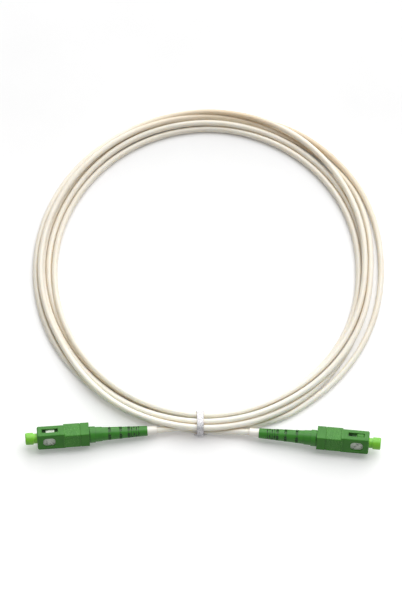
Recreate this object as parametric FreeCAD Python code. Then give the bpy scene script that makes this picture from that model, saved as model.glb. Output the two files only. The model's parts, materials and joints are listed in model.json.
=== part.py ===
import FreeCAD, Part
import math
import os

Vector = FreeCAD.Vector

# A simplex fibre patch cord: one jacketed cord, coiled and tied, with a push-pull connector at each end.
# All sizes are millimetres. The table is z = 0, and the origin lies midway between the two connectors.
# Each connector is drawn along its own X axis: x = 0 is the rear of the outer shell, +X points out of
# the nose, +Y is square to the narrow faces and +Z is square to the wide face with the window.

# Where each connector lies on the table: plan position of the shell's rear, and its turns in degrees
LEFT_REAR = (-55.56, 1.8)
RIGHT_REAR = (55.58, 0.0)
LEFT_YAW = 5.1
RIGHT_YAW = 6.3
NOSE_PITCH = 2.5
ROLL = 27.7

# Outer shell
SHELL_LENGTH = 25.4
GRIP_LENGTH = 12.4
FRONT_WIDTH = 9.0
FRONT_THICKNESS = 7.4
GRIP_WIDTH = 7.8
GRIP_ABOVE_AXIS = 4.1
GRIP_BELOW_AXIS = 5.1
SHELL_SIDE_WALL = 0.75
SHELL_FACE_WALL = 0.7
GRIP_BORE = 6.2
CORNER_RADIUS = 0.55
NOSE_BEVEL = 0.45
SEAM_FROM_REAR = 4.2
SEAM_WIDTH = 0.3
SEAM_DEPTH = 0.2
KEY_WIDTH = 2.0
KEY_HEIGHT = 0.8
KEY_LENGTH = 9.6
WINDOW_FROM_NOSE = 2.8
WINDOW_LENGTH = 6.0
WINDOW_WIDTH = 5.0
WINDOW_CORNER = 1.8
SLOT_FROM_NOSE = 2.3
SLOT_LENGTH = 7.9
SLOT_WIDTH = 2.6
LEDGE_FROM_NOSE = 2.0
LEDGE_LENGTH = 6.5
LEDGE_FROM_EDGE = 0.5
LEDGE_WIDTH = 0.3
LEDGE_DEPTH = 0.25
SHELL_TRAVEL = 1.8

# Plug frame inside the shell
FRAME_SETBACK = 0.4
FRAME_WIDE_LENGTH = 9.6
FRAME_LENGTH = 16.6
SLIDE_CLEARANCE = 0.1
FRAME_REAR_SIZE = 5.8
FRAME_BORE = 5.2
FRAME_BORE_DEPTH = 6.0
FRAME_WEB = 1.0
FRAME_REAR_BORE = 5.0
TAB_FROM_NOSE = 4.3
TAB_LENGTH = 4.2
LATCH_POCKET_DEPTH = 0.9
LATCH_POCKET_LENGTH = 1.7

# Ferrule, its flange, the spring and the fibre
FERRULE_DIAMETER = 2.499
FERRULE_LENGTH = 10.5
FERRULE_PROUD = 1.3
FERRULE_END_ANGLE = 8.0
FERRULE_FLOAT = 0.8
FIBRE_DIAMETER = 0.125
FIBRE_BORE = 0.14
BUFFER_DIAMETER = 0.9
BUFFER_BORE = 0.25
BUFFER_CLEARANCE = 0.05
FLANGE_GRIP = 3.6
FLANGE_NOSE_DIAMETER = 3.3
FLANGE_COLLAR_DIAMETER = 4.7
FLANGE_COLLAR_LENGTH = 2.4
FLANGE_STEM_DIAMETER = 2.8
FLANGE_STEM_LENGTH = 5.6
SEAT_GAP = 0.05
SPRING_WIRE = 0.4
SPRING_MEAN_DIAMETER = 3.9
SPRING_TURNS = 4.5
SPRING_LENGTH = 4.4

# Back body, crimp ring, yarn and guide tube
BODY_PLUG_DIAMETER = 4.9
BODY_COLLAR_DIAMETER = 5.8
BODY_COLLAR_LENGTH = 6.6
BODY_BORE = 3.1
NECK_DIAMETER = 3.6
NECK_BORE = 2.0
NECK_LENGTH = 7.2
YARN_THICKNESS = 0.24
YARN_GAP = 0.02
CRIMP_WALL = 0.4
CRIMP_LENGTH = 6.0
GUIDE_BORE = 1.1
GUIDE_WALL = 0.3

# Boot, its sleeve and the jacketed end
BOOT_LENGTH = 28.1
BOOT_GAP = 0.3
BOOT_RINGS = ((2.6, 8.1, 8.0), (3.4, 7.3, 7.1), (2.9, 6.7, 6.4))
BOOT_SEGMENTS = ((4.2, 6.2, 6.0), (2.7, 5.8, 5.6))
BOOT_GROOVE_LENGTH = 1.3
BOOT_GROOVE_DEPTH = 0.9
BOOT_RIB_WIDTH = 1.3
BOOT_END_DIAMETER = 4.9
BOOT_END_START = 5.4
BOOT_SLITS = 4
BOOT_SLIT_LENGTH = 0.5
BOOT_SLIT_PITCH = 1.15
BOOT_SLIT_WIDTH = 1.5
BOOT_SLIT_DEPTH = 0.55
BOOT_SLIT_STAGGER = 14
BOOT_FIT = 0.02
SLEEVE_EXPOSED = 4.7
SLEEVE_INSERTED = 2.0
SLEEVE_DIAMETER = 4.25
CORD_DIAMETER = 3.0
JACKET_WALL = 0.4
JACKET_FIT = 0.03

# Dust cap on the ferrule
CAP_PROUD = 5.8
CAP_HEAD_DIAMETER = 5.9
CAP_HEAD_LENGTH = 3.9
CAP_HEAD_ROUND = 0.6
CAP_NECK_DIAMETER = 4.9
CAP_STEM_DIAMETER = 4.4
CAP_ON_FERRULE = 6.4
CAP_FIT = 0.025
CAP_TIP_GAP = 0.2
CAP_SHOULDER_GAP = 0.3

# Coil of five turns: its outline in plan is an outer and an inner circle that are not quite concentric
COIL_OUTER_RADIUS = 87.8
COIL_OUTER_CENTRE = (2.62, 91.7)
COIL_INNER_RADIUS = 76.0
COIL_INNER_CENTRE = (2.04, 90.7)
COIL_HEIGHT = 6.2
COIL_ROUND = 2.4

# Strap that ties the coil and the two leads together
TIE_X = -1.32
TIE_WIDTH = 3.4
TIE_THICKNESS = 0.35
TIE_CLEARANCE = 0.25
TIE_TAIL_WIDTH = 5.6
TIE_TAIL_LENGTH = 1.1
# Strands at the corners of the bundle under the strap, as plan y and height
TIE_CORNERS = ((4.7, 2.1), (10.2, 2.1), (11.4, 4.85), (8.9, 6.9), (5.5, 7.5))

# Routes of the two leads between their sleeves and the coil, chosen by eye from the photograph.
# Each list follows a short straight run out of the sleeve, whose end comes from the connector.
LEAD_EXIT_RUN = 6.0
LEFT_ROUTE = ((-9.5, 5.85, 5.0), (-2.5, 6.55, 4.85), (4.5, 7.2, 4.1), (11.5, 7.3, 2.7), (18.5, 7.0, 1.85))
RIGHT_ROUTE = ((10.6, 4.0, 3.45), (4.3, 4.15, 2.4), (-1.8, 4.7, 1.97), (-8.2, 5.65, 1.7), (-15.0, 7.3, 1.58))
RUN_SHARE = 0.45

# How far a cutting shape runs past the face that it cuts, and the gap below which two lengths are the same
OVERRUN = 1.0
SAME = 0.01


def rounded_rectangle(x, y0, y1, z0, z1, radius):
    """Closed wire square to X, with a quarter circle at each corner."""
    corners = ((y1 - radius, z1 - radius, 0), (y0 + radius, z1 - radius, 90),
               (y0 + radius, z0 + radius, 180), (y1 - radius, z0 + radius, 270))
    arcs = []
    for y, z, start in corners:
        spots = []
        for step in (0, 45, 90):
            angle = math.radians(start + step)
            spots.append(Vector(x, y + radius * math.cos(angle), z + radius * math.sin(angle)))
        arcs.append(Part.Arc(*spots).toShape())
    edges = []
    for index, arc in enumerate(arcs):
        following = arcs[(index + 1) % len(arcs)]
        edges.append(arc)
        edges.append(Part.makeLine(arc.Vertexes[-1].Point, following.Vertexes[0].Point))
    return Part.Wire(edges)


def bar(x0, x1, y0, y1, z0, z1, radius):
    """Bar along X with rounded long edges."""
    face = Part.Face(rounded_rectangle(x0, y0, y1, z0, z1, radius))
    return face.extrude(Vector(x1 - x0, 0, 0))


def block(x0, x1, y0, y1, z0, z1):
    """Box between two opposite corners."""
    return Part.makeBox(x1 - x0, y1 - y0, z1 - z0, Vector(x0, y0, z0))


def rod(x0, x1, diameter):
    """Round bar on the X axis."""
    return Part.makeCylinder(diameter / 2, x1 - x0, Vector(x0, 0, 0), Vector(1, 0, 0))


def turned(points):
    """Solid of revolution about X, from a closed outline of (x, radius) points."""
    spots = [Vector(x, radius, 0) for x, radius in points]
    face = Part.Face(Part.makePolygon(spots + spots[:1]))
    return face.revolve(Vector(0, 0, 0), Vector(1, 0, 0), 360)


# Places along the connector's axis, all worked out from the sizes above
frame_front = SHELL_LENGTH - FRAME_SETBACK
frame_step = frame_front - FRAME_WIDE_LENGTH
frame_rear = frame_front - FRAME_LENGTH
cavity_step = frame_step - SHELL_TRAVEL - SLIDE_CLEARANCE
cavity_half_y = FRONT_WIDTH / 2 - SHELL_SIDE_WALL
cavity_half_z = FRONT_THICKNESS / 2 - SHELL_FACE_WALL
web_front = frame_front - FRAME_BORE_DEPTH
web_rear = web_front - FRAME_WEB
ferrule_tip = SHELL_LENGTH + FERRULE_PROUD
ferrule_rear = ferrule_tip - FERRULE_LENGTH
flange_front = ferrule_rear + FLANGE_GRIP
collar_front = web_rear - SEAT_GAP
collar_rear = collar_front - FLANGE_COLLAR_LENGTH
stem_rear = collar_rear - FLANGE_STEM_LENGTH
spring_front = collar_rear - SEAT_GAP
spring_rear = spring_front - SPRING_LENGTH
body_front = spring_rear - SEAT_GAP
body_collar_rear = frame_rear - BODY_COLLAR_LENGTH
neck_rear = body_collar_rear - NECK_LENGTH
crimp_front = body_collar_rear - SEAT_GAP
crimp_rear = crimp_front - CRIMP_LENGTH
yarn_inner = NECK_DIAMETER / 2 + YARN_GAP
yarn_outer = yarn_inner + YARN_THICKNESS
crimp_inner = yarn_outer + YARN_GAP
crimp_outer = crimp_inner + CRIMP_WALL
boot_front = -BOOT_GAP
boot_rear = boot_front - BOOT_LENGTH
sleeve_rear = boot_rear - SLEEVE_EXPOSED
jacket_inner = CORD_DIAMETER / 2 - JACKET_WALL
jacket_front = neck_rear - CORD_DIAMETER / 2
buffer_front = stem_rear + FLANGE_STEM_LENGTH / 2


def make_housing(ledge_side):
    """Outer shell: grip, front section with key, latch slots, window and one ledge line."""
    step = GRIP_LENGTH
    half_y = FRONT_WIDTH / 2
    half_z = FRONT_THICKNESS / 2
    grip_y = GRIP_WIDTH / 2
    bevel_start = SHELL_LENGTH - NOSE_BEVEL
    shell = bar(step - CORNER_RADIUS, bevel_start, -half_y, half_y, -half_z, half_z, CORNER_RADIUS)
    nose_y = half_y - NOSE_BEVEL
    nose_z = half_z - NOSE_BEVEL
    nose = Part.makeLoft([
        rounded_rectangle(bevel_start, -half_y, half_y, -half_z, half_z, CORNER_RADIUS),
        rounded_rectangle(SHELL_LENGTH, -nose_y, nose_y, -nose_z, nose_z, CORNER_RADIUS),
    ], True, True)
    grip = bar(0, step, -grip_y, grip_y, -GRIP_BELOW_AXIS, GRIP_ABOVE_AXIS, CORNER_RADIUS)
    key = block(step - CORNER_RADIUS, step + KEY_LENGTH, -KEY_WIDTH / 2, KEY_WIDTH / 2,
                -half_z - KEY_HEIGHT, -half_z + SHELL_FACE_WALL)
    shell = shell.fuse([nose, grip, key])

    front_cavity = block(cavity_step, SHELL_LENGTH, -cavity_half_y, cavity_half_y,
                         -cavity_half_z, cavity_half_z)
    bore_half = GRIP_BORE / 2
    grip_cavity = bar(-OVERRUN, cavity_step, -bore_half, bore_half, -bore_half, bore_half, CORNER_RADIUS)
    shell = shell.cut([front_cavity, grip_cavity])

    seam_outer = block(SEAM_FROM_REAR, SEAM_FROM_REAR + SEAM_WIDTH, -half_y - OVERRUN, half_y + OVERRUN,
                       -GRIP_BELOW_AXIS - OVERRUN, GRIP_ABOVE_AXIS + OVERRUN)
    seam_core = bar(0, step, -grip_y + SEAM_DEPTH, grip_y - SEAM_DEPTH,
                    -GRIP_BELOW_AXIS + SEAM_DEPTH, GRIP_ABOVE_AXIS - SEAM_DEPTH, CORNER_RADIUS)
    shell = shell.cut(seam_outer.cut(seam_core))

    slot_front = SHELL_LENGTH - SLOT_FROM_NOSE
    slots = block(slot_front - SLOT_LENGTH, slot_front, -half_y - OVERRUN, half_y + OVERRUN,
                  -SLOT_WIDTH / 2, SLOT_WIDTH / 2)
    window_front = SHELL_LENGTH - WINDOW_FROM_NOSE
    window_rear = window_front - WINDOW_LENGTH
    window = bar(0, half_z + OVERRUN, -WINDOW_WIDTH / 2, WINDOW_WIDTH / 2,
                 -window_front, -window_rear, WINDOW_CORNER)
    window.rotate(Vector(0, 0, 0), Vector(0, 1, 0), -90)
    ledge_front = SHELL_LENGTH - LEDGE_FROM_NOSE
    ledge_y = ledge_side * (half_y - LEDGE_FROM_EDGE - LEDGE_WIDTH / 2)
    ledge = block(ledge_front - LEDGE_LENGTH, ledge_front, ledge_y - LEDGE_WIDTH / 2,
                  ledge_y + LEDGE_WIDTH / 2, half_z - LEDGE_DEPTH, half_z + OVERRUN)
    return shell.cut([slots, window, ledge])


def make_plug_frame():
    """White inner frame: front bore, web, rear bore, and a latch shoulder on each narrow side."""
    half_y = cavity_half_y - SLIDE_CLEARANCE
    half_z = cavity_half_z - SLIDE_CLEARANCE
    rear_half = FRAME_REAR_SIZE / 2
    frame = bar(frame_step, frame_front, -half_y, half_y, -half_z, half_z, CORNER_RADIUS / 2)
    frame = frame.fuse(bar(frame_rear, frame_step, -rear_half, rear_half, -rear_half, rear_half, CORNER_RADIUS))
    frame = frame.cut([
        rod(web_front, frame_front + OVERRUN, FRAME_BORE),
        rod(web_rear - OVERRUN, web_front + OVERRUN, FLANGE_NOSE_DIAMETER + 2 * SLIDE_CLEARANCE),
        rod(frame_rear - OVERRUN, web_rear, FRAME_REAR_BORE),
    ])
    tab_front = SHELL_LENGTH - TAB_FROM_NOSE
    tab_rear = tab_front - TAB_LENGTH
    pockets = []
    for side in (-1, 1):
        for start in (tab_front, tab_rear - LATCH_POCKET_LENGTH):
            near = side * (half_y - LATCH_POCKET_DEPTH)
            far = side * (half_y + OVERRUN)
            pockets.append(block(start, start + LATCH_POCKET_LENGTH, min(near, far), max(near, far),
                                 -SLOT_WIDTH / 2, SLOT_WIDTH / 2))
    return frame.cut(pockets)


def beyond_polished_face():
    """Everything ahead of the angle-polished end face."""
    reach = 2 * FERRULE_DIAMETER
    ahead = block(0, reach, -reach, reach, -reach, reach)
    ahead.rotate(Vector(0, 0, 0), Vector(0, 0, 1), FERRULE_END_ANGLE)
    set_back = FERRULE_DIAMETER / 2 * math.tan(math.radians(FERRULE_END_ANGLE))
    ahead.translate(Vector(ferrule_tip - set_back, 0, 0))
    return ahead


def make_ferrule():
    """Ceramic ferrule with a fibre bore and an angle-polished tip."""
    ferrule = rod(ferrule_rear, ferrule_tip, FERRULE_DIAMETER)
    bore = rod(ferrule_rear - OVERRUN, ferrule_tip + OVERRUN, FIBRE_BORE)
    return ferrule.cut([bore, beyond_polished_face()])


def make_bare_fibre():
    """Glass fibre, from the polished tip back into the buffer."""
    return rod(stem_rear, ferrule_tip, FIBRE_DIAMETER).cut(beyond_polished_face())


def make_ferrule_flange():
    """Metal barrel: nose through the web, collar on the web's rear, stem inside the spring."""
    seat = FERRULE_DIAMETER / 2
    buffer_hole = BUFFER_DIAMETER / 2 + BUFFER_CLEARANCE
    nose = FLANGE_NOSE_DIAMETER / 2
    collar = FLANGE_COLLAR_DIAMETER / 2
    stem = FLANGE_STEM_DIAMETER / 2
    return turned([
        (flange_front, seat), (flange_front, nose), (collar_front, nose), (collar_front, collar),
        (collar_rear, collar), (collar_rear, stem), (stem_rear, stem), (stem_rear, buffer_hole),
        (ferrule_rear, buffer_hole), (ferrule_rear, seat),
    ])


def make_spring():
    """Compression spring around the flange's stem."""
    rise = SPRING_LENGTH - SPRING_WIRE
    radius = SPRING_MEAN_DIAMETER / 2
    helix = Part.makeLongHelix(rise / SPRING_TURNS, rise, radius)
    start = Part.Circle(Vector(radius, 0, 0), Vector(0, 1, 0), SPRING_WIRE / 2).toShape()
    spring = Part.Wire(helix.Edges).makePipeShell([Part.Wire([start])], True, True)
    spring.rotate(Vector(0, 0, 0), Vector(0, 1, 0), 90)
    spring.translate(Vector(spring_rear + SPRING_WIRE / 2, 0, 0))
    return spring


def make_back_body():
    """Closes the frame, backs the spring, and ends in the neck that the yarn is crimped on."""
    plug = BODY_PLUG_DIAMETER / 2
    collar = BODY_COLLAR_DIAMETER / 2
    neck = NECK_DIAMETER / 2
    bore = BODY_BORE / 2
    neck_bore = NECK_BORE / 2
    face = frame_rear - SEAT_GAP
    return turned([
        (body_front, bore), (body_front, plug), (face, plug), (face, collar),
        (body_collar_rear, collar), (body_collar_rear, neck), (neck_rear, neck),
        (neck_rear, neck_bore), (body_collar_rear, neck_bore), (body_collar_rear, bore),
    ])


def make_crimp_ring():
    """Metal ring pressed over the yarn on the neck."""
    return turned([(crimp_front, crimp_inner), (crimp_front, crimp_outer),
                   (crimp_rear, crimp_outer), (crimp_rear, crimp_inner)])


def make_aramid_yarn():
    """Strength yarn: lies in the jacket, then spreads over the neck and under the ring."""
    lay = jacket_inner - YARN_GAP
    core = BUFFER_DIAMETER / 2 + BUFFER_CLEARANCE
    flare_start = jacket_front + YARN_GAP
    return turned([
        (sleeve_rear, core), (sleeve_rear, lay), (flare_start, lay), (neck_rear + YARN_GAP, yarn_outer),
        (crimp_front, yarn_outer), (crimp_front, yarn_inner), (neck_rear - YARN_GAP, yarn_inner),
        (jacket_front + YARN_THICKNESS, lay - YARN_THICKNESS), (jacket_front, core),
    ])


def make_guide_tube():
    """Plastic tube that leads the buffer through the neck."""
    inner = GUIDE_BORE / 2
    outer = inner + GUIDE_WALL
    front = stem_rear - FERRULE_FLOAT - 2 * SEAT_GAP
    return turned([(front, inner), (front, outer), (neck_rear, outer), (neck_rear, inner)])


def make_tight_buffer():
    """Buffered fibre from the sleeve's end up into the flange's stem."""
    outer = BUFFER_DIAMETER / 2
    inner = BUFFER_BORE / 2
    solid_from = neck_rear
    return turned([
        (sleeve_rear, 0), (sleeve_rear, outer), (buffer_front, outer), (buffer_front, inner),
        (solid_from, inner), (solid_from, 0),
    ])


def make_boot():
    """Stepped rubber boot with ribbed grooves and rows of slits near its end."""
    outline = []
    x = boot_front
    for length, start, end in BOOT_RINGS:
        outline.append((x, start / 2))
        x -= length
        outline.append((x, end / 2))
    grooves = []
    for length, start, end in BOOT_SEGMENTS:
        grooves.append((x - BOOT_GROOVE_LENGTH, x, outline[-1][1]))
        x -= BOOT_GROOVE_LENGTH
        outline.append((x, outline[-1][1]))
        outline.append((x, start / 2))
        x -= length
        outline.append((x, end / 2))
    end_start = x - BOOT_GROOVE_LENGTH
    grooves.append((end_start, x, outline[-1][1]))
    outline.append((end_start, outline[-1][1]))
    outline.append((end_start, BOOT_END_START / 2))
    outline.append((boot_rear, BOOT_END_DIAMETER / 2))

    ring_bore = crimp_outer + BOOT_FIT
    jacket_bore = CORD_DIAMETER / 2 + JACKET_FIT
    sleeve_bore = SLEEVE_DIAMETER / 2 + BOOT_FIT
    sleeve_front = boot_rear + SLEEVE_INSERTED
    outline += [
        (boot_rear, sleeve_bore), (sleeve_front, sleeve_bore), (sleeve_front, jacket_bore),
        (jacket_front - SEAT_GAP, jacket_bore), (jacket_front - SEAT_GAP, ring_bore), (boot_front, ring_bore),
    ]
    boot = turned(outline)

    cutters = []
    for rear, front, radius in grooves:
        inner = radius - BOOT_GROOVE_DEPTH
        band_outer = radius + OVERRUN
        band = turned([(rear, inner), (rear, band_outer), (front, band_outer), (front, inner)])
        rib_half = BOOT_RIB_WIDTH / 2
        rib_reach = band_outer + OVERRUN
        rib = block(rear - OVERRUN, front + OVERRUN, -rib_reach, rib_reach, -rib_half, rib_half)
        for quarter in (45, 135):
            turned_rib = rib.copy()
            turned_rib.rotate(Vector(0, 0, 0), Vector(1, 0, 0), quarter)
            band = band.cut(turned_rib)
        cutters.append(band)
    for number in range(BOOT_SLITS):
        front = end_start - BOOT_SLIT_PITCH * (number + 0.5)
        rear = front - BOOT_SLIT_LENGTH
        taper = (BOOT_END_START - BOOT_END_DIAMETER) / (end_start - boot_rear)
        radius = (BOOT_END_START - taper * (end_start - rear)) / 2
        slit = block(rear, front, -BOOT_SLIT_WIDTH / 2, BOOT_SLIT_WIDTH / 2,
                     radius - BOOT_SLIT_DEPTH, radius + OVERRUN)
        stagger = BOOT_SLIT_STAGGER if number % 2 else -BOOT_SLIT_STAGGER
        for quarter in (0, 90, 180, 270):
            turned_slit = slit.copy()
            turned_slit.rotate(Vector(0, 0, 0), Vector(1, 0, 0), quarter + stagger)
            cutters.append(turned_slit)
    return boot.cut(cutters)


def make_boot_sleeve():
    """Short sleeve over the jacket, held in the boot's end."""
    front = boot_rear + SLEEVE_INSERTED - SEAT_GAP
    inner = CORD_DIAMETER / 2 + JACKET_FIT
    outer = SLEEVE_DIAMETER / 2
    return turned([(front, inner), (front, outer), (sleeve_rear, outer), (sleeve_rear, inner)])


def make_jacket_end():
    """End of the cord's jacket, inside the boot and sleeve."""
    outer = CORD_DIAMETER / 2
    return turned([(jacket_front, jacket_inner), (jacket_front, outer),
                   (sleeve_rear, outer), (sleeve_rear, jacket_inner)])


def make_dust_cap():
    """Cap pushed over the ferrule: stem inside the frame, neck, and a rounded head."""
    tip = SHELL_LENGTH + CAP_PROUD
    head_rear = tip - CAP_HEAD_LENGTH
    mouth = ferrule_tip - CAP_ON_FERRULE
    shoulder = frame_front + CAP_SHOULDER_GAP
    bore = FERRULE_DIAMETER / 2 + CAP_FIT
    head = CAP_HEAD_DIAMETER / 2
    neck = CAP_NECK_DIAMETER / 2
    stem = CAP_STEM_DIAMETER / 2
    end = ferrule_tip + CAP_TIP_GAP
    cap = turned([
        (mouth, bore), (mouth, stem), (shoulder, stem), (shoulder, neck), (head_rear, neck),
        (head_rear, head), (tip, head), (tip, 0), (end, 0), (end, bore),
    ])
    rims = [edge for edge in cap.Edges
            if edge.BoundBox.XLength < SAME and abs(edge.BoundBox.XMin - tip) < SAME
            and edge.BoundBox.YLength > head]
    return cap.makeFillet(CAP_HEAD_ROUND, rims)


def axis_height():
    """Height of the connector's axis when the lower corner of its grip rests on the table."""
    roll = math.radians(ROLL)
    side = GRIP_WIDTH / 2 - CORNER_RADIUS
    below = GRIP_BELOW_AXIS - CORNER_RADIUS
    drop = side * math.cos(roll) + below * math.sin(roll) + CORNER_RADIUS
    return drop * math.cos(math.radians(NOSE_PITCH))


def connector_placement(rear, side, yaw_degrees):
    """Placement of a connector: side is -1 for the left one and +1 for the right one."""
    yaw = math.radians(yaw_degrees)
    pitch = math.radians(NOSE_PITCH)
    roll = math.radians(ROLL)
    outward = Vector(side * math.cos(yaw) * math.cos(pitch), -math.sin(yaw) * math.cos(pitch), math.sin(pitch))
    facing = Vector(0, -math.cos(roll), math.sin(roll))
    across = facing.cross(outward).normalize()
    normal = outward.cross(across).normalize()
    turn = FreeCAD.Rotation(outward, across, normal, "XYZ")
    return FreeCAD.Placement(Vector(rear[0], rear[1], axis_height()), turn)


def cord_tube(name, points):
    """Round tube through the points: straight runs joined by tangent arcs."""
    radii = []
    edges = []
    begin = points[0]
    for before, corner, after in zip(points, points[1:], points[2:]):
        back = before - corner
        ahead = after - corner
        shorter = min(back.Length, ahead.Length)
        turn = math.pi - back.getAngle(ahead)
        radius = RUN_SHARE * shorter / math.tan(turn / 2)
        radii.append(round(radius, 1))
        back.normalize()
        ahead.normalize()
        reach = RUN_SHARE * shorter
        first = corner + back * reach
        last = corner + ahead * reach
        inward = (back + ahead).normalize()
        middle = corner + inward * (radius / math.cos(turn / 2) - radius)
        edges.append(Part.LineSegment(begin, first).toShape())
        edges.append(Part.Arc(first, middle, last).toShape())
        begin = last
    edges.append(Part.LineSegment(begin, points[-1]).toShape())
    path = Part.Wire(edges)
    heading = points[1] - points[0]
    ring = Part.Wire([Part.Circle(points[0], heading, CORD_DIAMETER / 2).toShape()])
    tube = path.makePipeShell([ring], True, False)
    expected = math.pi * CORD_DIAMETER ** 2 / 4 * path.Length
    print(name, "radii", radii, "length", round(path.Length, 1),
          "volume share", round(tube.Volume / expected, 4))
    return tube


def strap_outline(grow):
    """Rounded outline around the bundle at the tie, in the plane square to X."""
    radius = CORD_DIAMETER / 2 + TIE_CLEARANCE + grow
    edges = []
    count = len(TIE_CORNERS)
    for index in range(count):
        before = TIE_CORNERS[index - 1]
        here = TIE_CORNERS[index]
        after = TIE_CORNERS[(index + 1) % count]
        in_angle = math.atan2(here[1] - before[1], here[0] - before[0]) - math.pi / 2
        out_angle = math.atan2(after[1] - here[1], after[0] - here[0]) - math.pi / 2
        if out_angle < in_angle:
            out_angle += 2 * math.pi
        spots = []
        for angle in (in_angle, (in_angle + out_angle) / 2, out_angle):
            spots.append(Vector(TIE_X - TIE_WIDTH / 2, here[0] + radius * math.cos(angle),
                                here[1] + radius * math.sin(angle)))
        arc = Part.Arc(*spots).toShape()
        if edges:
            edges.append(Part.makeLine(edges[-1].Vertexes[-1].Point, spots[0]))
        edges.append(arc)
    edges.append(Part.makeLine(edges[-1].Vertexes[-1].Point, edges[0].Vertexes[0].Point))
    return Part.Wire(edges)


def make_cable_tie():
    """Soft strap around the coil and leads, with a short splayed tail at the front."""
    outer = Part.Face(strap_outline(TIE_THICKNESS)).extrude(Vector(TIE_WIDTH, 0, 0))
    inner = Part.Face(strap_outline(0)).extrude(Vector(TIE_WIDTH, 0, 0))
    front = TIE_CORNERS[0][0] - CORD_DIAMETER / 2
    tail = block(TIE_X - TIE_TAIL_WIDTH / 2, TIE_X + TIE_TAIL_WIDTH / 2,
                 front - TIE_TAIL_LENGTH, front + TIE_TAIL_LENGTH, 0, TIE_THICKNESS)
    return outer.fuse(tail).cut(inner).removeSplitter()


def make_coil():
    """Ring that holds the five turns, drawn in under the strap."""
    outer = Part.makeCylinder(COIL_OUTER_RADIUS, COIL_HEIGHT, Vector(*COIL_OUTER_CENTRE, 0))
    inner = Part.makeCylinder(COIL_INNER_RADIUS, COIL_HEIGHT, Vector(*COIL_INNER_CENTRE, 0))
    ring = outer.cut(inner)
    rims = [edge for edge in ring.Edges if edge.BoundBox.ZLength < SAME]
    ring = ring.makeFillet(COIL_ROUND, rims)
    slab = block(TIE_X - TIE_WIDTH / 2, TIE_X + TIE_WIDTH / 2, 0, COIL_OUTER_CENTRE[1],
                 -OVERRUN, COIL_HEIGHT + OVERRUN)
    inside = Part.Face(strap_outline(0)).extrude(Vector(TIE_WIDTH, 0, 0))
    return ring.cut(slab).fuse(inside).removeSplitter()


def single(shape):
    """The one solid of a shape that should hold exactly one."""
    solids = shape.Solids
    if len(solids) != 1 or not solids[0].isValid():
        print("expected one valid solid, found", len(solids))
    return solids[0] if solids else shape


os.makedirs("parts", exist_ok=True)

left_place = connector_placement(LEFT_REAR, -1, LEFT_YAW)
right_place = connector_placement(RIGHT_REAR, 1, RIGHT_YAW)
connectors = (("left", left_place, 1), ("right", right_place, -1))

nodes = {}
for prefix, placement, ledge_side in connectors:
    pieces = {
        "housing": make_housing(ledge_side),
        "plug_frame": make_plug_frame(),
        "ferrule": make_ferrule(),
        "ferrule_flange": make_ferrule_flange(),
        "spring": make_spring(),
        "back_body": make_back_body(),
        "crimp_ring": make_crimp_ring(),
        "aramid_yarn": make_aramid_yarn(),
        "guide_tube": make_guide_tube(),
        "tight_buffer": make_tight_buffer(),
        "bare_fibre": make_bare_fibre(),
        "boot": make_boot(),
        "boot_sleeve": make_boot_sleeve(),
        "jacket_end": make_jacket_end(),
        "dust_cap": make_dust_cap(),
    }
    for label, shape in pieces.items():
        solid = single(shape)
        solid.Placement = placement.multiply(solid.Placement)
        nodes[prefix + "_" + label] = solid

for name, placement, route in (("left_lead", left_place, LEFT_ROUTE), ("right_lead", right_place, RIGHT_ROUTE)):
    start = placement.multVec(Vector(sleeve_rear, 0, 0))
    ahead = placement.multVec(Vector(sleeve_rear - LEAD_EXIT_RUN, 0, 0))
    nodes[name] = single(cord_tube(name, [start, ahead] + [Vector(*spot) for spot in route]))
nodes["cable_tie"] = single(make_cable_tie())
nodes["coil"] = single(make_coil())

for node, solid in nodes.items():
    solid.exportStep("parts/" + node + ".step")
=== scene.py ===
import json
import math

import bmesh
import bpy
import numpy as np
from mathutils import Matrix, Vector


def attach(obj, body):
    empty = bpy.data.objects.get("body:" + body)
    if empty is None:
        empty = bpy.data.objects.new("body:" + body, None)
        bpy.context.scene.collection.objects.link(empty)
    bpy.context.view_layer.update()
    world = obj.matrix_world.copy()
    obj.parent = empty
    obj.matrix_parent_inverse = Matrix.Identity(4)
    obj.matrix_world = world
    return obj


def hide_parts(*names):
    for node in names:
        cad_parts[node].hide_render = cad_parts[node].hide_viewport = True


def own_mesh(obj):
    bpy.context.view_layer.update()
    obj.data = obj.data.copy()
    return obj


# A coiled simplex fibre patch cord with a green push-pull connector at each end.
# Blender works in metres in the CAD frame. Lengths written here are in millimetres and are turned by MM,
# apart from those that a comment gives in metres.
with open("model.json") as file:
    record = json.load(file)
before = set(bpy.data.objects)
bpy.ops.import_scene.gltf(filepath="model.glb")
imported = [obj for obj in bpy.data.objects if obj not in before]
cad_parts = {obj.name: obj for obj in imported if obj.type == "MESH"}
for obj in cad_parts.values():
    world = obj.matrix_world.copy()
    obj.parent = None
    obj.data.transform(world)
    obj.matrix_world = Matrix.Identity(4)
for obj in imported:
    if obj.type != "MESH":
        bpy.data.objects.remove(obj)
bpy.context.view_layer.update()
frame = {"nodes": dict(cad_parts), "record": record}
MM = 0.001

# The two ends, and how near each other points of a mesh have to lie to be made one
SIDES = ("left", "right")
WELD = 0.0001

# Camera: its place, its tilt in degrees, its lens and sensor as Blender takes them, and the nearest that it
# sees, in metres
CAMERA_PLACE = (-0.75, -419.54, 1163.51)
CAMERA_TILT = 23.0
CAMERA_LENS = 150.0
CAMERA_SENSOR = 36.0
CAMERA_NEAR = 0.05

# Lamps: for each its direction round and above the table in degrees, its distance, width and height in
# metres and its power in watts; the point that they aim at, in metres; the strength of the surroundings
LAMPS = {
    "broad_lamp": (62.0, 57.0, 6.5, 8.0, 8.0, 490.0),
    "low_lamp": (85.0, 15.0, 3.0, 3.4, 1.2, 32.0),
}
LAMP_AIM = (0.0, 0.08, 0.0)
SURROUNDINGS = 0.2

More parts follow.
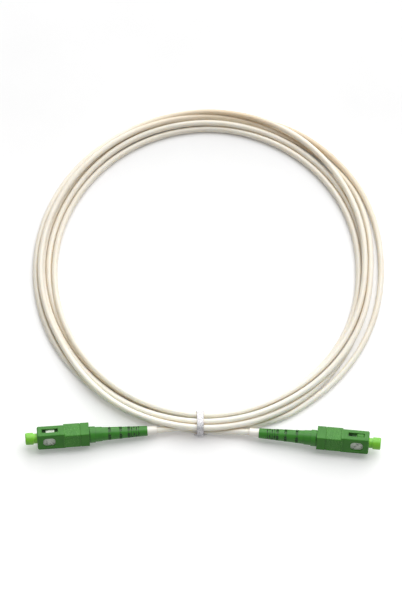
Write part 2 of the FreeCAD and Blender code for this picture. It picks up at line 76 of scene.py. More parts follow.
# Table: the radii of its rings and the points round them, its two whites and how wide their patches are.
# Where it is seen it is lifted to white, more at its front, which is farther from the lamps, than at its
# back: the two y between which the lift changes, and the lift at each
TABLE_RINGS = (200.0, 600.0, 2000.0)
TABLE_ROUND = 96
TABLE_WHITE = (247, 247, 247)
TABLE_SHADE = (243, 243, 243)
TABLE_PATCHES = 60.0
TABLE_SPAN = (10.0, 180.0)
TABLE_LIFT = (0.2, 0.05)

# Cord: diameter, and the routes of its two leads, which repeat the points of the CAD source
CORD_DIAMETER = 3.0
LEFT_LEAD = ((-22.62, 4.74, 4.18), (-16.65, 5.27, 3.92), (-9.5, 6.2, 4.7), (-2.5, 6.7, 4.5),
             (4.5, 7.1, 3.9), (11.5, 7.35, 2.6), (18.5, 7.05, 1.7), (27.5, 8.65, 1.5), (37.5, 11.65, 1.5))
RIGHT_LEAD = ((-37.0, 15.75, 1.5), (-28.0, 11.55, 1.5), (-21.5, 9.4, 1.5), (-15.0, 7.6, 1.58),
              (-8.2, 5.95, 1.7), (-1.8, 5.1, 1.97), (4.3, 4.5, 2.4), (10.6, 4.2, 3.45),
              (16.75, 4.29, 3.92), (22.71, 3.63, 4.18))

# Coil: its centre; for each turn its radius and the height of its middle in twelve directions, from the tie
# round by the right, the top and the left, of which the first turn lacks the tie's; how far apart the
# directions are and where the tie's lies, in degrees; and the points of each turn
COIL_CENTRE = (2.92, 92.0)
TURNS = (
    ((86.8, 1.5), (86.7, 1.5), (86.6, 1.5), (89.0, 1.5), (89.0, 1.5), (85.6, 1.5),
     (85.0, 1.5), (84.2, 1.5), (83.7, 1.5), (82.2, 1.5), (83.2, 2.6)),
    ((84.2, 7.6), (81.7, 5.0), (81.6, 4.7), (81.1, 3.6), (85.8, 1.5), (84.4, 1.5),
     (84.4, 4.1), (84.9, 4.5), (84.7, 4.5), (84.6, 4.4), (83.8, 4.4), (87.1, 5.9)),
    ((87.2, 7.4), (84.4, 3.0), (81.4, 1.5), (78.4, 1.5), (80.0, 1.5), (81.2, 2.0),
     (81.4, 3.8), (81.8, 3.2), (81.0, 1.8), (80.6, 1.5), (79.2, 1.5), (79.5, 1.5)),
    ((79.0, 2.1), (77.1, 1.5), (76.4, 1.5), (75.3, 1.5), (76.8, 1.5), (78.1, 1.5),
     (79.1, 1.5), (78.6, 1.5), (77.8, 1.5), (77.5, 2.6), (78.3, 4.3), (79.4, 4.5)),
    ((80.0, 5.0), (78.3, 4.6), (78.1, 4.5), (78.2, 4.6), (81.9, 4.5), (86.0, 5.2),
     (86.9, 5.0), (87.9, 1.7), (87.7, 1.5), (87.2, 1.5), (86.6, 1.5), (85.3, 1.5)),
)
STATION_ANGLE = 30.0
TIE_ANGLE = -90
POINTS_PER_TURN = 24

# Strap around the bundle: its place along x, width, thickness and clearance, the points round and across it,
# and how sharply it bends from strand to strand; its strands as plan y and height; and its flares as plan y
# and height, how far they reach, how much wider they are, and how far their middle and their edges stand off
TIE_X = -1.32
TIE_WIDTH = 3.3
TIE_FILM = 0.2
TIE_CLEARANCE = 0.12
TIE_ROUND = 240
TIE_ACROSS = 13
TIE_SHARPNESS = 3.0
TIE_STRANDS = ((5.1, 2.0), (13.1, 2.0), (12.3, 4.9), (8.1, 6.9), (5.0, 7.1))
TIE_FLARES = ((3.5, 1.8, 0.8, 3.2, 1.0, 0.2), (13.7, 5.6, 0.7, 1.5, 0.0, 0.6))

# Connectors: plan position of each shell's rear and height of its axis, and the connector's turns in degrees
SHELL_REAR = {"left": (-55.56, 1.8, 5.626), "right": (55.58, 0.0, 5.626)}
YAW = {"left": 5.1, "right": 6.3}
NOSE_PITCH = 2.5
ROLL = 27.7

# Latch faces seen in the side slots: where each starts and how long it is along the connector, half its
# width, how deep it is dished (less than nothing where it stands up) and whether it is dark, painted as the
# shade deep in the slot; how far from the axis their rims lie, their thickness, the points across each, and
# the power that steepens their sides
LATCH_FACES = {
    "left": ((15.42, 1.46, 1.28, 0.5, True), (21.12, 1.66, 1.28, 0.5, True),
             (22.8, 0.27, 1.28, 0.03, True)),
    "right": ((15.42, 1.46, 1.28, 0.5, True), (16.9, 2.15, 1.28, 0.03, True),
              (19.1, 3.95, 1.27, -0.7, False)),
}
LATCH_RIM = 3.73
LATCH_SKIN = 0.04
LATCH_ACROSS = 15
LATCH_STEEPNESS = 8

# Boot: the collar that it presses against the shell and the lip inside it, each as where it ends along the
# connector and its radius; the lip's bore and rounding, and the points round it and over its rounded corner
COLLAR_START = -0.45
COLLAR_END = -0.04
COLLAR_RADIUS = 3.9
LIP_END = 0.7
LIP_RADIUS = 3.02
LIP_BORE = 2.57
LIP_ROUNDING = 0.2
LIP_ROUND = 48
LIP_CORNER = 5

# Spring behind each ferrule: its ends along the connector, mean radius, turns and wire, and the points round
# the wire and along it
SPRING_REAR = 11.1
SPRING_FRONT = 15.5
SPRING_RADIUS = 1.95
SPRING_TURNS = 4.5
SPRING_WIRE = 0.4
SPRING_ROUND = 12
SPRING_ALONG = 163

# Moulded plastics by material slot: name, main colour, shade, colour of worn edges, roughness, size and depth
# of the grain, and reach of the wear; what else their shaders take, as Blender takes it; and the size of
# their mottling and of their specks. Colours are screen values here and below
PLASTICS = {
    "ferrule_ceramic": ("ferrule_zirconia", (246, 244, 238), (238, 235, 228), (250, 250, 247),
                        0.16, 0.1, 0.002, 0.06),
    "guide_plastic": ("guide_tube_plastic", (232, 234, 232), (220, 222, 220), (240, 240, 240),
                      0.4, 0.25, 0.02, 0.05),
    "buffer_plastic": ("buffer_plastic", (242, 240, 232), (232, 228, 216), (250, 248, 244),
                       0.4, 0.25, 0.02, 0.05),
    "fibre_glass": ("fibre_glass", (236, 242, 246), (226, 234, 240), (250, 250, 250),
                    0.08, 0.05, 0.001, 0.01),
    "green_boot": ("green_boot_rubber", (51, 128, 27), (42, 116, 21), (104, 176, 80),
                   0.34, 0.16, 0.01, 0.12),
    "sleeve_plastic": ("sleeve_plastic", (253, 249, 240), (248, 243, 233), (254, 252, 248),
                       0.36, 0.25, 0.02, 0.12),
    "cap_plastic": ("cap_soft_plastic", (122, 200, 36), (106, 186, 28), (176, 230, 108),
                    0.34, 0.2, 0.012, 0.15),
}
PLASTIC_SHADERS = {
    "green_boot": {"Specular IOR Level": 0.35},
    "cap_plastic": {"Subsurface Weight": 0.15, "Subsurface Scale": 0.001},
}
PLASTIC_MOTTLING = 4.0
PLASTIC_SPECKS = 0.5

# Boot's grooves: the dark green painted into them as shade, how wide a crevice that takes this painted shade
# may be, and rings of painted shade by the distance of their middle from the plane between the connectors,
# half their width and their strength
GROOVE_PAINTED_SHADE = (8, 48, 8)
GROOVE_SHADE_REACH = 1.3
BOOT_RING_SHADE = ((45.79, 0.5, 0.45), (40.33, 0.5, 0.45), (36.35, 0.5, 0.45),
              (34.89, 0.3, 0.6), (33.75, 0.3, 0.6), (32.61, 0.3, 0.6), (31.46, 0.3, 0.6))

# Green shell: its colours, mottling and wear; the frosted band on its grip by its distance from the plane
# between the connectors, the width of the band's edges and the size of its frosting; and the dark green
# painted as shade deep in the slots
SHELL_GREEN = (50, 122, 21)
SHELL_GREEN_SHADE = (41, 112, 16)
SHELL_GREEN_WORN = (108, 176, 84)
SHELL_MOTTLING = 5.0
SHELL_WEAR = 0.28
FROST_START = 60.1
FROST_END = 67.9
FROST_EDGE = 0.2
FROST_SIZE = 0.45
SLOT_PAINTED_SHADE = (12, 42, 10)

# White frame: its colour, grey in patches and paler along its worn edges, and the reach of the wear
FRAME_WHITE = (222, 228, 216)
FRAME_GREY_PATCHES = (146, 156, 142)
FRAME_WORN = (248, 248, 245)
FRAME_WEAR = 0.15

# Metals by material slot: name, main colour, shade and roughness
METALS = {
    "flange_metal": ("flange_nickel", (200, 196, 186), (176, 172, 162), 0.28),
    "spring_steel": ("spring_wire", (178, 178, 180), (140, 140, 144), 0.24),
    "back_body_metal": ("back_body_nickel", (188, 184, 176), (160, 156, 150), 0.32),
    "crimp_metal": ("crimp_brass", (206, 190, 150), (180, 160, 118), 0.36),
}

# Aramid yarn: its colour and shade
YARN_YELLOW = (226, 198, 98)
YARN_SHADE = (196, 164, 66)

# Cord jacket: its ivory and shade, and the painted shade in gaps between strands, with how wide they may be.
# It is painted lighter at the front as painted light, and its outer strands at the back are painted darker as
# painted shade. Each pair is where that starts and where it is full: the painted light by y; and the painted
# shade by y, by the distance from the coil's centre, by x, and either by height or by x
JACKET_IVORY = (244, 236, 222)
JACKET_SHADE = (238, 229, 214)
JACKET_GAP_SHADE = (236, 222, 200)
GAP_SHADE_REACH = 1.6
JACKET_FRONT_LIGHT = (254, 247, 232)
FRONT_LIGHT_SPAN = (60.0, 25.0)
JACKET_BACK_SHADE = (212, 195, 168)
BACK_SHADE_BEHIND = (110.0, 168.0)
BACK_SHADE_OUTSIDE = (82.3, 83.8)
BACK_SHADE_RIGHT = (-40.0, 5.0)
BACK_SHADE_BELOW = (4.4, 3.2)
BACK_SHADE_LEFT = (45.0, 25.0)

# Strap film: its milky colour, its grey painted shade towards the front and its darker painted shade along
# its edges, the reach of the edge shade, and where the front shade and the creases are nothing and where they
# are full by y, behind it and before it
FILM_MILKY = (246, 244, 247)
FILM_FRONT_SHADE = (192, 195, 198)
FILM_EDGE_SHADE = (190, 187, 188)
EDGE_SHADE_REACH = 0.3
CREASES_AND_SHADE_BEHIND = (7.5, 5.5)
CREASES_AND_SHADE_BEFORE = (3.4, 4.2)

# Wear and crevices: how the rounded normal meets the true one on a flat face and on a sharp edge, how open
# a face and a crevice are, and the rays that each takes
EDGE_MEETING = (0.97, 0.75)
EDGE_SAMPLES = 6
CREVICE_OPENNESS = (0.8, 0.35)
CREVICE_SAMPLES = 8


def new_object(name, data):
    """New object at the origin, in the scene."""
    made = bpy.data.objects.new(name, data)
    bpy.context.scene.collection.objects.link(made)
    return made


def make_camera():
    """Long lens above the front edge, tilted towards the coil."""
    data = bpy.data.cameras.new("camera")
    data.lens = CAMERA_LENS
    data.sensor_width = CAMERA_SENSOR
    data.clip_start = CAMERA_NEAR
    camera = new_object("camera", data)
    camera.location = Vector(CAMERA_PLACE) * MM
    camera.rotation_euler = (math.radians(CAMERA_TILT), 0, 0)
    bpy.context.scene.camera = camera


def coil_points():
    """Control points of the five turns. Radius and height run evenly from each given direction to the next,
    and the radius is divided by the cosine of half a step, because a quadratic spline runs inside its control
    points by that much."""
    radii, heights = np.vstack(TURNS).T
    stations = STATION_ANGLE * np.arange(1, len(radii) + 1)
    angles = np.arange(stations[0], stations[-1] + 1, 360 / POINTS_PER_TURN)
    reach = np.interp(angles, stations, radii) / math.cos(math.pi / POINTS_PER_TURN)
    height = np.interp(angles, stations, heights)
    turned = np.radians(angles + TIE_ANGLE)
    x = COIL_CENTRE[0] + reach * np.cos(turned)
    y = COIL_CENTRE[1] + reach * np.sin(turned)
    return np.stack([x, y, height], 1)


def make_cord():
    """One jacketed cord from the left sleeve round the coil to the right sleeve."""
    points = np.vstack([LEFT_LEAD, coil_points(), RIGHT_LEAD]) * MM
    curve = bpy.data.curves.new("cord", "CURVE")
    curve.dimensions = "3D"
    curve.bevel_depth = CORD_DIAMETER / 2 * MM
    curve.bevel_resolution = 7
    curve.resolution_u = 8
    curve.use_fill_caps = True
    spline = curve.splines.new("NURBS")
    spline.points.add(len(points) - 1)
    spline.points.foreach_set("co", np.column_stack([points, np.ones(len(points))]).ravel())
    spline.order_u = 3
    spline.use_endpoint_u = True
    return new_object("cord", curve)


def mesh_piece(name, points, faces, smooth=True):
    """New mesh object at the origin from arrays of points in millimetres and of faces, with the points that
    lie on each other made one."""
    mesh = bpy.data.meshes.new(name)
    mesh.from_pydata((points * MM).tolist(), [], faces.tolist())
    welded = bmesh.new()
    welded.from_mesh(mesh)
    bmesh.ops.remove_doubles(welded, verts=welded.verts, dist=WELD * MM)
    welded.to_mesh(mesh)
    welded.free()
    mesh.polygons.foreach_set("use_smooth", np.full(len(mesh.polygons), smooth))
    mesh.update()
    return new_object(name, mesh)


def full_turn(steps):
    """Angles of a full turn in equal steps, without its end, which is its start again."""
    return np.linspace(0, 2 * np.pi, steps + 1)[:-1]


def grid_faces(rows, columns, ring=False):
    """Faces of a grid of rows by columns, closed along its rows where it is a ring."""
    row = np.arange(rows if ring else rows - 1)[:, None]
    column = np.arange(columns - 1)[None, :]
    after = (row + 1) % rows
    corners = (row * columns + column, after * columns + column,
               after * columns + column + 1, row * columns + column + 1)
    return np.stack(np.broadcast_arrays(*corners), -1).reshape(-1, 4)


def make_tie():
    """Thin strap drawn round the strands. Its section is the outline whose support in each direction is the
    soft maximum of the strands' own, h(a) = log(sum exp(k c.n(a))) / k + r, so the point is h n + h' t.
    At each flare a bell curve of the distance from it widens the strap and lifts it off the bundle."""
    turn = full_turn(TIE_ROUND)
    centres = np.array(TIE_STRANDS)
    normal = np.stack([np.cos(turn), np.sin(turn)], 1)
    tangent = np.stack([-np.sin(turn), np.cos(turn)], 1)
    pull = normal @ centres.T
    weight = np.exp(TIE_SHARPNESS * (pull - pull.max(1, keepdims=True)))
    weight /= weight.sum(1, keepdims=True)
    support = np.log(np.exp(TIE_SHARPNESS * pull).sum(1)) / TIE_SHARPNESS
    support += CORD_DIAMETER / 2 + TIE_CLEARANCE
    slope = (weight * (tangent @ centres.T)).sum(1)
    section = normal * support[:, None] + tangent * slope[:, None]
    across = np.linspace(-1, 1, TIE_ACROSS)
    width = np.full(len(turn), TIE_WIDTH)
    lift = np.zeros((len(turn), len(across)))
    for y, z, reach, wider, middle_lift, edge_lift in TIE_FLARES:
        bell = np.exp(-((section - (y, z)) ** 2).sum(1) / reach ** 2)
        width += wider * bell
        lift += bell[:, None] * (middle_lift + (edge_lift - middle_lift) * across[None, :] ** 2)
    x = TIE_X + width[:, None] / 2 * across[None, :]
    y = section[:, :1] + lift * normal[:, :1]
    z = section[:, 1:] + lift * normal[:, 1:]
    points = np.stack([x, y, z], -1).reshape(-1, 3)
    tie = mesh_piece("tie_strap", points, grid_faces(len(turn), len(across), ring=True))
    wall = tie.modifiers.new("film", "SOLIDIFY")
    wall.thickness = TIE_FILM * MM
    wall.offset = 1
    return tie


def connector_point(side, along, across, above):
    """Points given along the connector's axis, square to its narrow faces and square to its wide face."""
    yaw, pitch, roll = (math.radians(angle) for angle in (YAW[side], NOSE_PITCH, ROLL))
    way = -1 if side == "left" else 1
    outward = np.array([way * math.cos(yaw) * math.cos(pitch), -math.sin(yaw) * math.cos(pitch),
                        math.sin(pitch)])
    sideways = np.cross([0, -math.cos(roll), math.sin(roll)], outward)
    sideways /= np.linalg.norm(sideways)
    facing = np.cross(outward, sideways)
    spots = np.stack(np.broadcast_arrays(along, across, above), -1)
    return np.array(SHELL_REAR[side]) + spots @ np.stack([outward, sideways, facing])


def make_latch_faces(side):
    """Shallow pans over the plug frame in the side slots. Over a square u, v in -1..1 a pan's distance from
    the axis is rim - depth (1 - u^8) (1 - v^8), so it has a flat bottom and steep sides."""
    spread = np.sin(np.linspace(-np.pi / 2, np.pi / 2, LATCH_ACROSS))
    u, v = np.meshgrid(spread, spread, indexing="ij")
    patches, faces, shades = [], [], []
    for start, length, half_width, depth, dark in LATCH_FACES[side]:
        along = start + length * (1 + u) / 2
        from_axis = LATCH_RIM - depth * (1 - u ** LATCH_STEEPNESS) * (1 - v ** LATCH_STEEPNESS)
        for way in (-1, 1):
            square = grid_faces(LATCH_ACROSS, LATCH_ACROSS)[:, ::-way]
            faces.append(square + len(patches) * u.size)
            patches.append(connector_point(side, along, way * from_axis, half_width * v).reshape(-1, 3))
            shades.append(np.full(len(square), int(dark)))
    latches = mesh_piece(side + "_latch_faces", np.vstack(patches), np.vstack(faces))
    # the dark pans take the second material: a dark sheet of painted shade for the shade deep in the slots
    latches.data.polygons.foreach_set("material_index", np.concatenate(shades))
    skin = latches.modifiers.new("skin", "SOLIDIFY")
    skin.thickness = LATCH_SKIN * MM
    return latches


def make_boot_lip(side):
    """Collar and lip of the boot: a closed profile, which steps in from the collar to the lip and rounds the
    lip's corner by a quarter circle, carried once round the connector's axis."""
    turn = full_turn(LIP_ROUND)
    corner = np.linspace(0, np.pi / 2, LIP_CORNER)
    along = np.concatenate([[COLLAR_START, COLLAR_START, COLLAR_END, COLLAR_END],
                            LIP_END - LIP_ROUNDING + LIP_ROUNDING * np.sin(corner),
                            [LIP_END, COLLAR_START]])
    radius = np.concatenate([[LIP_BORE, COLLAR_RADIUS, COLLAR_RADIUS, LIP_RADIUS],
                             LIP_RADIUS - LIP_ROUNDING + LIP_ROUNDING * np.cos(corner),
                             [LIP_BORE, LIP_BORE]])
    points = connector_point(side, np.broadcast_to(along, (len(turn), len(along))),
                             radius * np.cos(turn)[:, None], radius * np.sin(turn)[:, None])
    faces = grid_faces(len(turn), len(along), ring=True)
    return mesh_piece(side + "_boot_lip", points.reshape(-1, 3), faces)


def make_spring(side):
    """Helical spring: round the wire by s and along the helix by t, a point lies at rise t + w sin s along the
    axis and at radius R + w cos s from it, turned by t; the wire w closes to a point at both ends."""
    s = full_turn(SPRING_ROUND)[:, None]
    t = np.linspace(0, 1, SPRING_ALONG)[None, :]
    wire = np.full(t.shape, SPRING_WIRE / 2)
    wire[:, [0, -1]] = 0
    rise = SPRING_FRONT - SPRING_REAR - SPRING_WIRE
    along = SPRING_REAR + SPRING_WIRE / 2 + rise * t + wire * np.sin(s)
    radius = SPRING_RADIUS + wire * np.cos(s)
    turned = 2 * np.pi * SPRING_TURNS * t
    points = connector_point(side, along, radius * np.cos(turned), radius * np.sin(turned))
    faces = grid_faces(s.size, t.size, ring=True)[:, ::-1]
    return mesh_piece(side + "_spring_wire", points.reshape(-1, 3), faces)


def linear(red, green, blue):
    """Colour written as 0 to 255 screen values, as the linear one that shaders take, by the sRGB curve."""
    share = np.array([red, green, blue]) / 255
    value = np.where(share <= 0.04045, share / 12.92, ((share + 0.055) / 1.055) ** 2.4)
    return (*value.tolist(), 1.0)


def combined(tree, operation, *values):
    """What a Math node's operation makes of one or two values."""
    made = tree.nodes.new("ShaderNodeMath")
    made.operation = operation
    for value, socket in zip(values, made.inputs):
        tree.links.new(value, socket)
    return made.outputs[0]


def seen_directly(tree):
    """1 for rays from the camera, and for those that gloss and clear film show."""
    path = tree.nodes.new("ShaderNodeLightPath")
    seen = path.outputs["Is Camera Ray"]
    for kind in ("Is Glossy Ray", "Is Transmission Ray"):
        seen = combined(tree, "MAXIMUM", seen, path.outputs[kind])
    return seen


class Finish:
    """A node material on Object coordinates, built up from a Principled shader."""

    def __init__(self, name, roughness, **uniform):
        self.material = bpy.data.materials.new(name)
        self.material.use_nodes = True
        self.tree = self.material.node_tree
        self.shader = self.tree.nodes["Principled BSDF"]
        self.shader.inputs["Roughness"].default_value = roughness
        for socket, value in uniform.items():
            self.shader.inputs[socket].default_value = value
        self.place = self.node("ShaderNodeTexCoord").outputs["Object"]

    def node(self, kind, **settings):
        """New node of a kind with its settings."""
        made = self.tree.nodes.new(kind)
        for key, value in settings.items():
            setattr(made, key, value)
        return made

    def wire(self, source, socket):
        """Link from a node's output to an input, or to one of the shader's by its name."""
        self.tree.links.new(source, self.shader.inputs[socket] if isinstance(socket, str) else socket)

    def along(self, axis):
        """Place along one axis of the frame, in metres."""
        split = self.node("ShaderNodeSeparateXYZ")
        self.wire(self.place, split.inputs["Vector"])
        return split.outputs[axis]

    def off_centre(self):
        """Distance in metres from the middle plane between the two connectors."""
        return combined(self.tree, "ABSOLUTE", self.along("X"))

    def from_coil_centre(self):
        """Distance in metres in plan from the middle of the coil."""
        flat = self.node("ShaderNodeVectorMath", operation="MULTIPLY")
        flat.inputs[1].default_value = (1, 1, 0)
        self.wire(self.place, flat.inputs[0])
        made = self.node("ShaderNodeVectorMath", operation="DISTANCE")
        made.inputs[1].default_value = (COIL_CENTRE[0] * MM, COIL_CENTRE[1] * MM, 0)
        self.wire(flat.outputs["Vector"], made.inputs[0])
        return made.outputs["Value"]

    def noise(self, size, detail=3.0, stretch=None):
        """Noise whose features are size millimetres across, from 0 to 1."""
        made = self.node("ShaderNodeTexNoise")
        made.inputs["Scale"].default_value = 1 / (size * MM)
        made.inputs["Detail"].default_value = detail
        place = self.place
        if stretch:
            mapping = self.node("ShaderNodeMapping")
            mapping.inputs["Scale"].default_value = stretch
            self.wire(place, mapping.inputs["Vector"])
            place = mapping.outputs["Vector"]
        self.wire(place, made.inputs["Vector"])
        return made.outputs["Fac"]

    def ramp(self, value, low, high, start=0.0, end=1.0):
        """Value mapped from low..high to start..end, and held there."""
        made = self.node("ShaderNodeMapRange")
        for socket, number in (("From Min", low), ("From Max", high), ("To Min", start), ("To Max", end)):
            made.inputs[socket].default_value = number
        self.wire(value, made.inputs["Value"])
        return made.outputs["Result"]

    def over(self, place, span, ends=(0.0, 1.0)):
        """Place in metres mapped from a span in millimetres to the ends, and held there."""
        return self.ramp(place, span[0] * MM, span[1] * MM, *ends)

    def patches(self, size, low, high, detail=3.0):
        """Patches about size millimetres across: 0 where the noise is under low and 1 where it is over high."""
        return self.ramp(self.noise(size, detail), low, high)

    def times(self, *values):
        """Product of the values."""
        product = values[0]
        for value in values[1:]:
            product = combined(self.tree, "MULTIPLY", product, value)
        return product

    def mix(self, amount, first, second):
        """First colour where amount is 0, second where it is 1. The node's sockets of colours go by number,
        because its other kinds of value have the same names."""
        made = self.node("ShaderNodeMix", data_type="RGBA")
        self.wire(amount, made.inputs["Factor"])
        for socket, colour in ((made.inputs[6], first), (made.inputs[7], second)):
            if isinstance(colour, tuple):
                socket.default_value = linear(*colour)
            else:
                self.wire(colour, socket)
        return made.outputs[2]

    def crevices(self, reach):
        """1 deep in grooves narrower than reach, 0 on open faces."""
        made = self.node("ShaderNodeAmbientOcclusion", samples=CREVICE_SAMPLES)
        made.inputs["Distance"].default_value = reach * MM
        return self.ramp(made.outputs["AO"], *CREVICE_OPENNESS)

    def rounded(self, reach):
        """Normal rounded over reach millimetres at the edges."""
        made = self.node("ShaderNodeBevel", samples=EDGE_SAMPLES)
        made.inputs["Radius"].default_value = reach * MM
        return made.outputs["Normal"]

    def edges(self, reach):
        """1 along sharp edges and 0 on flat faces: how far the normal rounded over reach leaves the true
        one."""
        meeting = self.node("ShaderNodeVectorMath", operation="DOT_PRODUCT")
        self.wire(self.rounded(reach), meeting.inputs[0])
        self.wire(self.node("ShaderNodeNewGeometry").outputs["True Normal"], meeting.inputs[1])
        return self.ramp(meeting.outputs["Value"], *EDGE_MEETING)

    def worn_plastic(self, main, shade, worn, mottling, wear):
        """Colour mottled from main to shade and scuffed to worn along the edges, and the noise of the specks
        that scuff it."""
        body = self.mix(self.patches(mottling, 0.35, 0.7), main, shade)
        specks = self.noise(PLASTIC_SPECKS, detail=5.0)
        scuffed = self.times(self.edges(wear), self.ramp(specks, 0.35, 0.6))
        return self.mix(scuffed, body, worn), specks

    def with_groove_shade(self, body):
        """Body colour with shade painted in: dark green in crevices and along the boot's rings."""
        body = self.mix(self.crevices(GROOVE_SHADE_REACH), body, GROOVE_PAINTED_SHADE)
        out = self.off_centre()
        for middle, half, strength in BOOT_RING_SHADE:
            rising = self.over(out, (middle - half, middle - half / 2), (0.0, strength))
            falling = self.over(out, (middle + half, middle + half / 2))
            body = self.mix(self.times(rising, falling), body, GROOVE_PAINTED_SHADE)
        return body

    def colour(self, value):
        """Sets the surface's colour."""
        self.wire(value, "Base Color")

    def roughness(self, noise, smoothest, roughest, low=0.3, high=0.7):
        """Roughness that follows a noise from low to high."""
        self.wire(self.ramp(noise, low, high, smoothest, roughest), "Roughness")

    def bumps(self, *reliefs, rounding=0.0):
        """Surface relief from pairs of a depth in millimetres and a height, one on the other, over rounded
        edges."""
        normal = self.rounded(rounding) if rounding else None
        for depth, height in reliefs:
            bump = self.node("ShaderNodeBump")
            bump.inputs["Distance"].default_value = depth * MM
            self.wire(height, bump.inputs["Height"])
            if normal:
                self.wire(normal, bump.inputs["Normal"])
            normal = bump.outputs["Normal"]
        self.wire(normal, "Normal")


def moulded(slot):
    """Moulded plastic: slow mottling, worn edges and fine grain, and on the boot shade painted into its
    grooves.
    """
    name, main, shade, worn, roughness, grain, depth, wear = PLASTICS[slot]
    finish = Finish(name, roughness, **PLASTIC_SHADERS.get(slot, {}))
    body, specks = finish.worn_plastic(main, shade, worn, PLASTIC_MOTTLING, wear)
    # on the boot, shade is painted into the grooves and along the rings
    finish.colour(finish.with_groove_shade(body) if slot == "green_boot" else body)
    finish.roughness(specks, roughness - 0.06, roughness + 0.08)
    finish.bumps((depth, finish.noise(grain)), rounding=wear)
    return finish.material


def shell_green():
    """Green shell: moulded, with a frosted band between the seam and the step of the grip."""
    finish = Finish("green_shell_plastic", 0.4, **{"Specular IOR Level": 0.28})
    body, specks = finish.worn_plastic(SHELL_GREEN, SHELL_GREEN_SHADE, SHELL_GREEN_WORN, SHELL_MOTTLING,
                                       SHELL_WEAR)
    out = finish.off_centre()
    band = finish.times(finish.over(out, (FROST_START, FROST_START + FROST_EDGE)),
                        finish.over(out, (FROST_END, FROST_END - FROST_EDGE)))
    frost = finish.noise(FROST_SIZE, detail=2.0)
    pale = finish.times(band, finish.ramp(frost, 0.48, 0.7, end=0.5))
    finish.colour(finish.mix(pale, body, SHELL_GREEN_WORN))
    finish.roughness(specks, 0.34, 0.46)
    finish.bumps((0.01, finish.noise(0.2)), (0.07, finish.times(band, frost)), rounding=SHELL_WEAR)
    return finish.material


def slot_painted_shade():
    """Dark green painted on the latch faces as the shade deep in the slots, with a little mottling."""
    finish = Finish("slot_painted_shade_plastic", 0.5, **{"Specular IOR Level": 0.2})
    finish.colour(finish.mix(finish.patches(0.8, 0.5, 0.8), SLOT_PAINTED_SHADE, SHELL_GREEN_SHADE))
    finish.roughness(finish.noise(0.4), 0.42, 0.6)
    finish.bumps((0.02, finish.noise(0.3)))
    return finish.material


def white_frame():
    """White plug frame, mottled grey in patches."""
    finish = Finish("white_frame_plastic", 0.4, **{"Specular IOR Level": 0.4})
    slow = finish.patches(2.6, 0.42, 0.62)
    fine = finish.patches(0.7, 0.4, 0.6, detail=4.0)
    body = finish.mix(finish.times(slow, fine), FRAME_WHITE, FRAME_GREY_PATCHES)
    finish.colour(finish.mix(finish.edges(FRAME_WEAR), body, FRAME_WORN))
    finish.roughness(fine, 0.34, 0.5, low=0.0, high=1.0)
    finish.bumps((0.02, fine), rounding=FRAME_WEAR)
    return finish.material


def metal(slot):
    """Turned or drawn metal with fine tool marks and duller patches."""
    name, main, shade, roughness = METALS[slot]
    finish = Finish(name, roughness, Metallic=1.0)
    dulled = finish.noise(1.5, detail=4.0)
    finish.colour(finish.mix(finish.ramp(dulled, 0.35, 0.65), main, shade))
    finish.roughness(dulled, roughness - 0.05, roughness + 0.1)
    finish.bumps((0.01, finish.noise(0.15, detail=2.0)), rounding=0.08)
    return finish.material


def yarns():
    """Bundle of fine straight yarns along the connector."""
    finish = Finish("aramid_yarn_bundle", 0.5, **{"Sheen Weight": 0.4})
    strands = finish.noise(0.2, detail=2.0, stretch=(0.05, 1, 1))
    finish.colour(finish.mix(finish.ramp(strands, 0.35, 0.65), YARN_YELLOW, YARN_SHADE))
    finish.bumps((0.05, strands))
    return finish.material


def jacket():
    """Ivory jacket: satin skin, slow changes of tone, painted light at the front, painted shade on the outer
    strands at the back and painted shade in the gaps between strands.
    """
    finish = Finish("cord_jacket_ivory", 0.36, **{
        "Specular IOR Level": 0.5, "Subsurface Weight": 0.6, "Subsurface Scale": 0.003,
        "Subsurface Radius": (1.0, 0.88, 0.7)})
    x, y, z = (finish.along(axis) for axis in "XYZ")
    body = finish.mix(finish.patches(9.0, 0.3, 0.7), JACKET_IVORY, JACKET_SHADE)
    # painted light: the jacket is whiter towards the front
    body = finish.mix(finish.over(y, FRONT_LIGHT_SPAN), body, JACKET_FRONT_LIGHT)
    # painted shade: the outer strands at the coil's back are darker
    below_or_left = combined(finish.tree, "MAXIMUM", finish.over(z, BACK_SHADE_BELOW), finish.over(x, BACK_SHADE_LEFT))
    back_shade = finish.times(finish.over(y, BACK_SHADE_BEHIND), finish.over(finish.from_coil_centre(), BACK_SHADE_OUTSIDE),
                          finish.over(x, BACK_SHADE_RIGHT), below_or_left)
    body = finish.mix(back_shade, body, JACKET_BACK_SHADE)
    # painted shade in the gaps between strands
    finish.colour(finish.mix(finish.crevices(GAP_SHADE_REACH), body, JACKET_GAP_SHADE))
    skin = finish.noise(0.35, detail=4.0)
    finish.roughness(skin, 0.3, 0.44)
    finish.bumps((0.008, skin))
    return finish.material


def film():
    """Milky soft film, creased towards the front and greyer there as painted shade, with painted shade along
    its edges.
    """
    finish = Finish("tie_clear_film", 0.25, **{"Transmission Weight": 0.25, "IOR": 1.45})
    y = finish.along("Y")
    # painted shade: greyer towards the front, where the same mask also creases the film
    front_shade_and_creases = finish.times(finish.over(y, CREASES_AND_SHADE_BEHIND), finish.over(y, CREASES_AND_SHADE_BEFORE),
                         finish.patches(1.0, 0.3, 0.6, detail=4.0))
    body = finish.mix(front_shade_and_creases, FILM_MILKY, FILM_FRONT_SHADE)
    # painted shade along the film's edges
    finish.colour(finish.mix(finish.edges(EDGE_SHADE_REACH), body, FILM_EDGE_SHADE))
    finish.roughness(finish.noise(0.8), 0.2, 0.34)
    finish.bumps((0.03, finish.noise(2.0)), (0.06, front_shade_and_creases))
    return finish.material


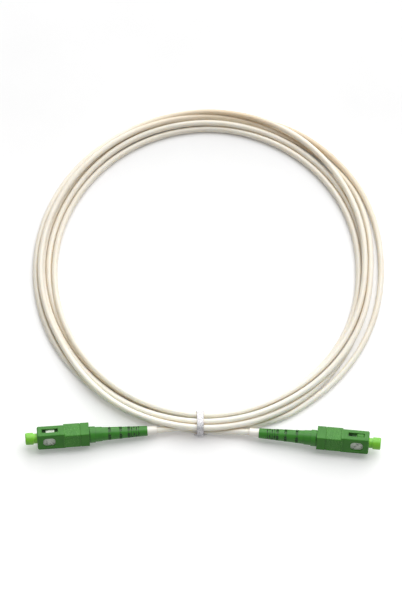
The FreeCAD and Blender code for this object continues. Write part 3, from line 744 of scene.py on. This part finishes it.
def dress(slots):
    """Gives each CAD node the finish of its material slot, and returns the finishes by slot."""
    finishes = {slot: moulded(slot) for slot in PLASTICS}
    finishes.update({slot: metal(slot) for slot in METALS})
    finishes.update(green_shell=shell_green(), white_frame=white_frame(), aramid=yarns(),
                    cord_jacket=jacket(), tie_film=film())
    for name, node in frame["nodes"].items():
        node.data.materials.clear()
        node.data.materials.append(finishes[slots[name]])
    return finishes


def make_lamps():
    """A broad soft lamp high behind the cord, and a low one that glosses the upper faces."""
    for name, (around, above, distance, width, height, power) in LAMPS.items():
        data = bpy.data.lights.new(name, "AREA")
        data.shape = "ELLIPSE"
        data.size = width
        data.size_y = height
        data.energy = power
        around, above = math.radians(around), math.radians(above)
        towards = Vector((math.cos(above) * math.cos(around), math.cos(above) * math.sin(around),
                          math.sin(above)))
        lamp = new_object(name, data)
        lamp.location = Vector(LAMP_AIM) + towards * distance
        lamp.rotation_euler = towards.to_track_quat("Z", "Y").to_euler()


def make_world():
    """Pale surroundings: white where they are seen, dimmer as light."""
    world = bpy.data.worlds.new("studio")
    world.use_nodes = True
    tree = world.node_tree
    background = tree.nodes["Background"]
    background.inputs["Color"].default_value = (1, 1, 1, 1)
    strength = tree.nodes.new("ShaderNodeMapRange")
    strength.inputs["To Min"].default_value = SURROUNDINGS
    strength.inputs["To Max"].default_value = 1.0
    tree.links.new(seen_directly(tree), strength.inputs["Value"])
    tree.links.new(strength.outputs["Result"], background.inputs["Strength"])
    bpy.context.scene.world = world


def make_floor():
    """Round white table top: points at each ring's radius in each direction, and a flat face in the middle."""
    turn = full_turn(TABLE_ROUND)
    circle = np.stack([np.cos(turn), np.sin(turn), np.zeros_like(turn)], 1)
    points = (circle[:, None, :] * np.array(TABLE_RINGS)[None, :, None]).reshape(-1, 3)
    rings = len(TABLE_RINGS)
    floor = mesh_piece("floor", points, grid_faces(len(turn), rings, ring=True), smooth=False)
    middle = mesh_piece("floor_middle", points[::rings], np.arange(len(turn))[None, :], smooth=False)
    finish = Finish("white_table", 0.6, **{"Specular IOR Level": 0.2, "Emission Color": (1, 1, 1, 1)})
    finish.colour(finish.mix(finish.patches(TABLE_PATCHES, 0.3, 0.7), TABLE_WHITE, TABLE_SHADE))
    lift = finish.over(finish.along("Y"), TABLE_SPAN, TABLE_LIFT)
    finish.wire(finish.times(seen_directly(finish.tree), lift), "Emission Strength")
    for piece in (floor, middle):
        piece.data.materials.append(finish.material)


def settle(piece, slot, *more):
    """Gives a new piece the finish of its slot, and any more materials, and makes it ride on the cord."""
    for material in (finishes[slot], *more):
        piece.data.materials.append(material)
    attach(piece, "cord")


make_camera()
cord = make_cord()
tie = make_tie()
latches = {side: make_latch_faces(side) for side in SIDES}
lips = {side: make_boot_lip(side) for side in SIDES}
springs = {side: make_spring(side) for side in SIDES}
finishes = dress({part["node"]: part["material_slot"] for part in frame["record"]["subparts"]})
painted_slot_shade = slot_painted_shade()

settle(cord, "cord_jacket")
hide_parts("coil", "left_lead", "right_lead")
settle(tie, "tie_film")
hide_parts("cable_tie")

for side in SIDES:
    # where dark, the latch faces take the painted shade of the slots
    settle(latches[side], "green_shell", painted_slot_shade)
    settle(lips[side], "green_boot")
    settle(springs[side], "spring_steel")
    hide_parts(side + "_spring")
    rear, front = connector_point(side, np.array([SPRING_REAR, SPRING_FRONT]), 0.0, 0.0) * MM
    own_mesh(springs[side])

make_lamps()
make_world()
make_floor()

bpy.context.scene.view_settings.view_transform = "Standard"
